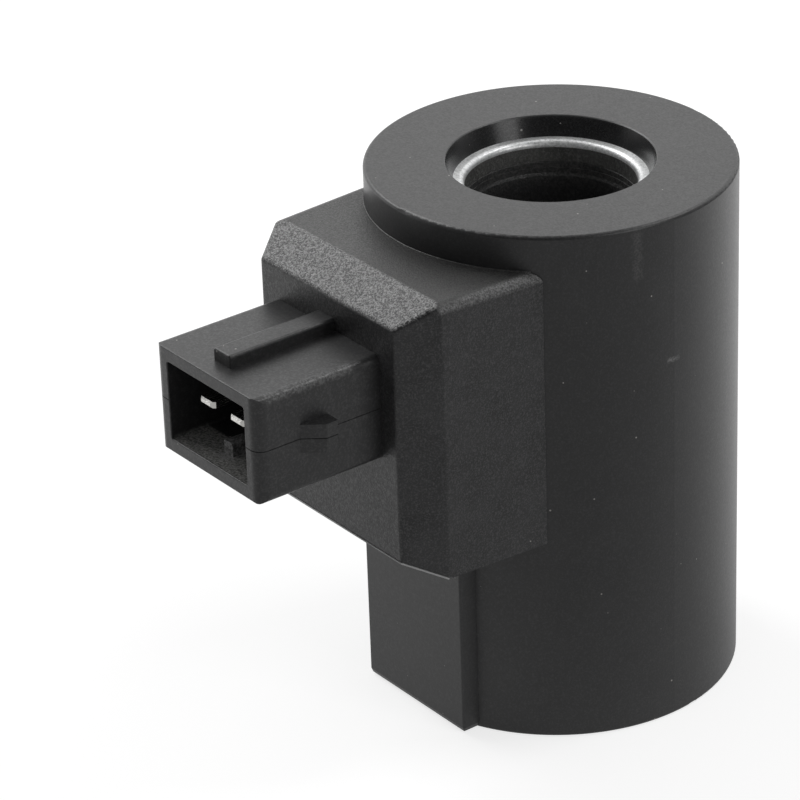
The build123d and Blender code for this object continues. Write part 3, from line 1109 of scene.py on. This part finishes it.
@dataclass
class Winding:
    """The bobbin and everything wound on it or soldered to it."""

    bobbin: MouldedPlastic = MouldedPlastic(
        "Bobbin plastic", (0.014, 0.014, 0.0145), 0.45, Grain.GRANULAR, patches=(
            # Both mouths of the bore.
            DustAndPaintedLightPatch((-20.0, -20.0, 25.0), (20.0, 20.0, 32.0), (0.06, 0.06, 0.058),
                      both_ends=True, fade=2.2),
        ))
    carrier: MouldedPlastic = MouldedPlastic("Carrier plastic", (0.03, 0.03, 0.03), 0.5,
                                             Grain.MATTE)
    turns: WoundWire = WoundWire("Copper turns", (0.72, 0.32, 0.15), 0.45 * MM)
    wire: WoundWire = WoundWire("Copper lead", (0.72, 0.32, 0.15), 0.4 * MM, unevenness=0.9,
                                ridge_share=0.02)
    tape: WrappedFilm = WrappedFilm("Amber polyester tape", (0.62, 0.42, 0.12), 9 * MM, 0.9 * MM,
                                    0.3)
    sleeving: WrappedFilm = WrappedFilm("Woven sleeving", (0.66, 0.65, 0.60), 0.5 * MM, 0.22 * MM,
                                        0.7)
    solder: TurnedMetal = TurnedMetal("Solder", (0.70, 0.70, 0.71), (0.42, 0.42, 0.43), 0.28,
                                      0.5 * MM)

    def dress(self, effects: Effects) -> None:
        """Dresses the wound pieces and the leads.

        Args:
            effects: The shared effects.
        """
        dress("bobbin", self.bobbin.material(effects))
        dress("terminal_carrier", self.carrier.material(effects))
        dress("winding", self.turns.material(effects))
        dress("winding_tape", self.tape.material(effects))
        wire, sleeving, solder = (f.material(effects)
                                  for f in (self.wire, self.sleeving, self.solder))
        for lead in ("start", "finish"):
            dress(f"{lead}_lead", wire)
            dress(f"{lead}_lead_sleeve", sleeving)
            dress(f"{lead}_solder_joint", solder)


@dataclass(frozen=True)
class Softbox:
    """A rectangular lamp that points at the coil, sizes in metres and power in watts."""

    name: str
    place: Point
    width: float
    height: float
    power: float

    def build(self, target: Vector) -> None:
        """Makes the lamp.

        Args:
            target: The point it shines at.
        """
        data = bpy.data.lights.new(self.name, "AREA")
        data.shape = "RECTANGLE"
        data.size = self.width
        data.size_y = self.height
        data.energy = self.power
        lamp = bpy.data.objects.new(self.name, data)
        lamp.location = self.place
        lamp.rotation_euler = (target - lamp.location).to_track_quat("-Z", "Y").to_euler()
        bpy.context.scene.collection.objects.link(lamp)


@dataclass(frozen=True)
class Surround:
    """Light from all round: a white backdrop behind the coil, a dim room on the camera's side."""

    backdrop_side: Point = (-0.80, 0.60, 0.0)
    backdrop: float = 1.26
    room: float = 0.02
    turn_start: float = -0.15
    turn_end: float = 0.65
    ambient: float = 0.40

    def along_backdrop(self, graph: Graph, place: Socket) -> Socket:
        """Measures how far a place or a direction lies towards the backdrop.

        Args:
            graph: The node tree.
            place: The place or direction.

        Returns:
            Its length along the backdrop's side.
        """
        facing = graph.add("ShaderNodeVectorMath", operation="DOT_PRODUCT")
        graph.join(place, facing.inputs[0])
        facing.inputs[1].default_value = self.backdrop_side
        return facing.outputs["Value"]

    def build(self) -> None:
        """Makes the world: white where seen, a gradient where mirrored, even as a lamp."""
        world = bpy.data.worlds.new("Studio surround")
        bpy.context.scene.world = world
        world.use_nodes = True
        graph = Graph(world.node_tree)
        light = next(n for n in graph.tree.nodes if n.type == "BACKGROUND")
        light.inputs["Color"].default_value = (1.0, 1.0, 1.0, 1.0)
        direction = graph.add("ShaderNodeTexCoord").outputs["Generated"]
        mirrored = graph.spread(self.along_backdrop(graph, direction), self.turn_start,
                                self.turn_end, self.room, self.backdrop)
        path = graph.add("ShaderNodeLightPath").outputs
        glossy = graph.maths("MAXIMUM", path["Is Glossy Ray"], path["Is Transmission Ray"])
        other = graph.maths("MULTIPLY_ADD", glossy,
                            graph.maths("SUBTRACT", mirrored, self.ambient), self.ambient)
        rest = graph.maths("SUBTRACT", 1.0, other)
        graph.join(graph.maths("MULTIPLY_ADD", path["Is Camera Ray"], rest, other),
                   light.inputs["Strength"])


@dataclass
class Studio:
    """Floor, surround, lamps and camera."""

    surround: Surround = Surround()
    lamps: tuple[Softbox, ...] = (
        Softbox("Left softbox", (-0.68, -0.15, 0.66), 0.42, 0.42, 3.0),
        Softbox("Right softbox", (0.80, 0.15, 0.40), 0.4, 0.4, 1.45),
        Softbox("Top softbox", (0.24, 0.50, 0.78), 0.3, 0.3, 1.5),
    )
    # The floor lies just under the coil, so that the two don't share a plane.
    floor_half: float = 3.0
    floor_gap: float = 0.02 * MM
    floor_colour: Colour = (0.47, 0.47, 0.47)
    floor_roughness: float = 0.9
    # How bright the floor is where it is seen, and where it is mirrored in front of the coil
    # and behind it, with the half width of the turn between the two.
    floor_seen: float = 0.70
    floor_near: float = 0.11
    floor_far: float = 0.86
    floor_turn: float = 70 * MM
    # The camera, in degrees and metres, with its lens in millimetres.
    azimuth: float = 53.49
    elevation: float = 27.52
    roll: float = -2.07
    distance: float = 496.7 * MM
    aim_height: float = -3.7 * MM
    aim_right: float = -19.04 * MM
    aim_up: float = 4.83 * MM
    lens: float = 180.586

    def build(self) -> None:
        """Builds the whole studio."""
        self.build_floor()
        self.surround.build()
        for lamp in self.lamps:
            lamp.build(Vector((0.0, 0.0, 0.0)))
        self.build_camera()
        bpy.context.scene.view_settings.view_transform = "Standard"
        log.info("built the studio")

    def build_floor(self) -> None:
        """Makes the pale floor that the coil stands on."""
        mesh = bmesh.new()
        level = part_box("moulded_jacket")[0].z - self.floor_gap
        mesh.faces.new([mesh.verts.new((x * self.floor_half, y * self.floor_half, level))
                        for x, y in ((-1, -1), (1, -1), (1, 1), (-1, 1))])
        floor = link_mesh("floor", mesh)
        floor.data.materials.append(self.floor_material())

    def floor_material(self) -> bpy.types.Material:
        """Builds the floor's material: white where seen, and a gradient where mirrored.

        Returns:
            The new material.
        """
        paint = Paint("Pale floor")
        graph = paint.graph
        paint.constants(Base_Color=(*self.floor_colour, 1.0), Roughness=self.floor_roughness,
                        Specular_IOR_Level=0.0, Emission_Color=(1.0, 1.0, 1.0, 1.0))
        path = graph.add("ShaderNodeLightPath").outputs
        mirrored = graph.maths("MAXIMUM", path["Is Glossy Ray"], path["Is Transmission Ray"])
        behind = graph.spread(self.surround.along_backdrop(graph, graph.place()),
                              -self.floor_turn, self.floor_turn, self.floor_near, self.floor_far)
        lift = graph.maths("MULTIPLY_ADD", path["Is Camera Ray"], self.floor_seen,
                           graph.maths("MULTIPLY", mirrored, behind))
        paint.feed(lift, "Emission Strength")
        return paint.material

    def build_camera(self) -> None:
        """Places the camera where the photograph was taken from."""
        around, above, lean = (math.radians(a) for a in (self.azimuth, self.elevation, self.roll))
        back = Vector((math.sin(around) * math.cos(above), -math.cos(around) * math.cos(above),
                       math.sin(above)))
        right = Vector((math.cos(around), math.sin(around), 0.0))
        up = back.cross(right)
        spot = (Vector((0.0, 0.0, self.aim_height)) + right * self.aim_right + up * self.aim_up
                + back * self.distance)
        rolled_right = right * math.cos(lean) + up * math.sin(lean)
        rolled_up = up * math.cos(lean) - right * math.sin(lean)
        data = bpy.data.cameras.new("camera")
        data.lens = self.lens
        camera = bpy.data.objects.new("camera", data)
        turn = Matrix((rolled_right, rolled_up, back)).transposed().to_4x4()
        camera.matrix_world = Matrix.Translation(spot) @ turn
        bpy.context.scene.collection.objects.link(camera)
        bpy.context.scene.camera = camera


def main() -> None:
    """Builds and dresses the coil, then the studio round it."""
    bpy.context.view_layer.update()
    effects = Effects().make()
    Jacket().dress(effects)
    TerminalBlock().build(effects)
    ConnectorHeader().dress(effects)
    MagneticCircuit().dress(effects)
    Winding().dress(effects)
    Studio().build()
    log.info("wrote the sizes")


if __name__ == "__main__":
    main()
